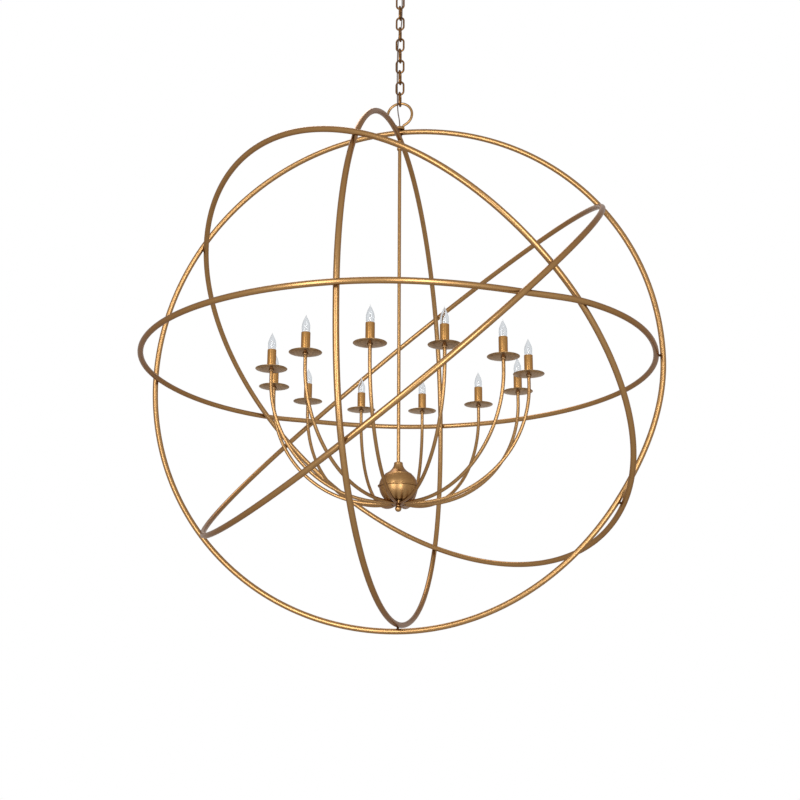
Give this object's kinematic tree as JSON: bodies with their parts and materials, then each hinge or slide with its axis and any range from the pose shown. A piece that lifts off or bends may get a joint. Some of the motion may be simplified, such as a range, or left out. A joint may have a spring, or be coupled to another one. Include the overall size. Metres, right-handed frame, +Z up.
{
  "type": "orb chandelier",
  "caption": "Large open sphere of woven metal hoops round a cluster of candle lamps on curved arms, hung from a chain and a ceiling canopy.",
  "frame": {"origin": "on the ceiling, at the middle of the strap's upper face", "axes": "+Z up; the wide upright hoop lies in the XZ plane, the narrow one in the YZ plane"},
  "size_m": [1.524, 1.524, 2.0839],
  "materials": {
    "antique_gold": "antique gold leaf, aged, satin",
    "dark_pin": "dark bronze, satin",
    "plated_steel": "zinc plated",
    "socket_black": "moulded, matt",
    "lamp_glass": "clear glass",
    "brown_cord": "dark brown covered cord"
  },
  "bodies": {
    "ceiling_fitting": {"ceiling_strap": "plated_steel", "threaded_nipple": "plated_steel", "collar_loop": "antique_gold", "cord_at_ceiling": "brown_cord"},
    "canopy": {"canopy": "antique_gold"},
    "ring_nut": {"ring_nut": "antique_gold"},
    "link_11": {"chain_link_11": "antique_gold", "cord_at_link_11": "brown_cord"},
    "link_10": {"chain_link_10": "antique_gold", "cord_at_link_10": "brown_cord"},
    "link_09": {"chain_link_09": "antique_gold", "cord_at_link_09": "brown_cord"},
    "link_08": {"chain_link_08": "antique_gold", "cord_at_link_08": "brown_cord"},
    "link_07": {"chain_link_07": "antique_gold", "cord_at_link_07": "brown_cord"},
    "link_06": {"chain_link_06": "antique_gold", "cord_at_link_06": "brown_cord"},
    "link_05": {"chain_link_05": "antique_gold", "cord_at_link_05": "brown_cord"},
    "link_04": {"chain_link_04": "antique_gold", "cord_at_link_04": "brown_cord"},
    "link_03": {"chain_link_03": "antique_gold", "cord_at_link_03": "brown_cord"},
    "link_02": {"chain_link_02": "antique_gold", "cord_at_link_02": "brown_cord"},
    "link_01": {"chain_link_01": "antique_gold", "cord_at_link_01": "brown_cord"},
    "orb": {"orb_loop": "antique_gold", "stem": "antique_gold", "stem_coupling": "antique_gold", "hoop_pins": "dark_pin", "cord_at_orb": "brown_cord", "hub_bell": "antique_gold", "hub_upper_shell": "antique_gold", "hub_band": "antique_gold", "hub_lower_shell": "antique_gold", "arm_plate": "antique_gold", "finial": "antique_gold", "drip_discs": "antique_gold", "candle_sleeves": "antique_gold", "lamp_sockets": "socket_black", "bulbs": "lamp_glass", "hoop_upright_wide": "antique_gold", "hoop_level": "antique_gold", "hoop_upright_narrow": "antique_gold", "hoop_leaning_right": "antique_gold", "hoop_leaning_left": "antique_gold", "arm_01": "antique_gold", "arm_02": "antique_gold", "arm_03": "antique_gold", "arm_04": "antique_gold", "arm_05": "antique_gold", "arm_06": "antique_gold", "arm_07": "antique_gold", "arm_08": "antique_gold", "arm_09": "antique_gold", "arm_10": "antique_gold", "arm_11": "antique_gold", "arm_12": "antique_gold"}
  },
  "joints": [
    {"name": "canopy_travel", "type": "slide", "parent": "ceiling_fitting", "child": "canopy", "axis": [0, 0, -1], "range_m": [0, 0.03]},
    {"name": "ring_nut_travel", "type": "slide", "parent": "ceiling_fitting", "child": "ring_nut", "axis": [0, 0, -1], "range_m": [0, 0.03]},
    {"name": "link_11_swing", "type": "hinge", "parent": "ceiling_fitting", "child": "link_11", "pos_m": [0, 0, -0.06384], "axis": [1, 0, 0], "range_deg": [-6, 6]},
    {"name": "link_10_swing", "type": "hinge", "parent": "link_11", "child": "link_10", "pos_m": [0, 0, -0.1016], "axis": [0, 1, 0], "range_deg": [-6, 6]},
    {"name": "link_09_swing", "type": "hinge", "parent": "link_10", "child": "link_09", "pos_m": [0, 0, -0.13909], "axis": [1, 0, 0], "range_deg": [-6, 6]},
    {"name": "link_08_swing", "type": "hinge", "parent": "link_09", "child": "link_08", "pos_m": [0, 0, -0.1766], "axis": [0, 1, 0], "range_deg": [-6, 6]},
    {"name": "link_07_swing", "type": "hinge", "parent": "link_08", "child": "link_07", "pos_m": [0, 0, -0.2141], "axis": [1, 0, 0], "range_deg": [-6, 6]},
    {"name": "link_06_swing", "type": "hinge", "parent": "link_07", "child": "link_06", "pos_m": [0, 0, -0.2516], "axis": [0, 1, 0], "range_deg": [-6, 6]},
    {"name": "link_05_swing", "type": "hinge", "parent": "link_06", "child": "link_05", "pos_m": [0, 0, -0.28909], "axis": [1, 0, 0], "range_deg": [-6, 6]},
    {"name": "link_04_swing", "type": "hinge", "parent": "link_05", "child": "link_04", "pos_m": [0, 0, -0.3266], "axis": [0, 1, 0], "range_deg": [-6, 6]},
    {"name": "link_03_swing", "type": "hinge", "parent": "link_04", "child": "link_03", "pos_m": [0, 0, -0.3641], "axis": [1, 0, 0], "range_deg": [-6, 6]},
    {"name": "link_02_swing", "type": "hinge", "parent": "link_03", "child": "link_02", "pos_m": [0, 0, -0.40159], "axis": [0, 1, 0], "range_deg": [-6, 6]},
    {"name": "link_01_swing", "type": "hinge", "parent": "link_02", "child": "link_01", "pos_m": [0, 0, -0.4391], "axis": [1, 0, 0], "range_deg": [-6, 6]},
    {"name": "orb_swing", "type": "hinge", "parent": "link_01", "child": "orb", "pos_m": [0, 0, -0.47659], "axis": [0, 1, 0], "range_deg": [-6, 6]}
  ],
  "couplings": [
    {"joint": "ring_nut_travel", "follows": "canopy_travel", "ratio": 1}
  ]
}
